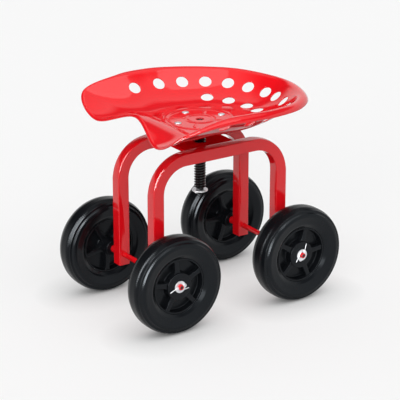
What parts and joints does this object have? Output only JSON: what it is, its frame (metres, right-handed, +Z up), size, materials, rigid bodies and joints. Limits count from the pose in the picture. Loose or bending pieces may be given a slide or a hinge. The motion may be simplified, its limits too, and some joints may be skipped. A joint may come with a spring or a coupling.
{
  "type": "rolling garden seat",
  "caption": "Low garden work seat: a stamped red steel tractor-style pan on a height-adjusting screw post, carried by a square-tube frame on small black wheels.",
  "frame": {"origin": "on the floor, midway between the four wheels, under the screw post", "axes": "+Z up, -X towards the front of the seat, -Y towards the sitter's left"},
  "size_m": [0.4508, 0.3712, 0.3977],
  "materials": {
    "red_paint": "glossy red powder coat",
    "tyre": "matt black solid tyre",
    "wheel_plastic": "satin black moulded plastic",
    "zinc": "bright zinc plate",
    "black_steel": "black oxide, oiled"
  },
  "bodies": {
    "chassis": {"side_frame_left": "red_paint", "side_frame_right": "red_paint", "front_axle": "red_paint", "rear_axle": "red_paint", "cross_plate": "red_paint", "post_nut": "red_paint", "axle_sleeve_front_left": "red_paint", "axle_sleeve_front_right": "red_paint", "axle_sleeve_rear_left": "red_paint", "axle_sleeve_rear_right": "red_paint", "wheel_washer_front_left": "zinc", "wheel_washer_front_right": "zinc", "wheel_washer_rear_left": "zinc", "wheel_washer_rear_right": "zinc", "wheel_pin_front_left": "zinc", "wheel_pin_front_right": "zinc", "wheel_pin_rear_left": "zinc", "wheel_pin_rear_right": "zinc"},
    "wheel_front_left": {"tyre_front_left": "tyre", "wheel_centre_front_left": "wheel_plastic"},
    "wheel_front_right": {"tyre_front_right": "tyre", "wheel_centre_front_right": "wheel_plastic"},
    "wheel_rear_left": {"tyre_rear_left": "tyre", "wheel_centre_rear_left": "wheel_plastic"},
    "wheel_rear_right": {"tyre_rear_right": "tyre", "wheel_centre_rear_right": "wheel_plastic"},
    "post_stop": {"post_washer": "zinc"},
    "seat": {"seat_pan": "red_paint", "seat_plate": "red_paint", "seat_post": "black_steel", "post_pin": "zinc", "seat_bolt_front": "zinc", "seat_bolt_rear": "zinc", "seat_bolt_left": "zinc", "seat_bolt_right": "zinc", "seat_nut_front": "zinc", "seat_nut_rear": "zinc", "seat_nut_left": "zinc", "seat_nut_right": "zinc"}
  },
  "joints": [
    {"name": "front_left_wheel", "type": "hinge", "parent": "chassis", "child": "wheel_front_left", "pos_m": [-0.135, -0.1195, 0.09043], "axis": [0, 1, 0], "continuous": true},
    {"name": "front_right_wheel", "type": "hinge", "parent": "chassis", "child": "wheel_front_right", "pos_m": [-0.135, 0.1195, 0.09043], "axis": [0, 1, 0], "continuous": true},
    {"name": "rear_left_wheel", "type": "hinge", "parent": "chassis", "child": "wheel_rear_left", "pos_m": [0.135, -0.1195, 0.09043], "axis": [0, 1, 0], "continuous": true},
    {"name": "rear_right_wheel", "type": "hinge", "parent": "chassis", "child": "wheel_rear_right", "pos_m": [0.135, 0.1195, 0.09043], "axis": [0, 1, 0], "continuous": true},
    {"name": "seat_lift", "type": "slide", "parent": "chassis", "child": "post_stop", "axis": [0, 0, 1], "range_m": [-0.01501, 0.05501]},
    {"name": "seat_turn", "type": "hinge", "parent": "post_stop", "child": "seat", "pos_m": [0, 0, 0.25], "axis": [0, 0, 1], "range_deg": [-1080, 3960]}
  ],
  "couplings": [
    {"joint": "seat_lift", "follows": "seat_turn", "m_per_rad": 0.00079577}
  ]
}
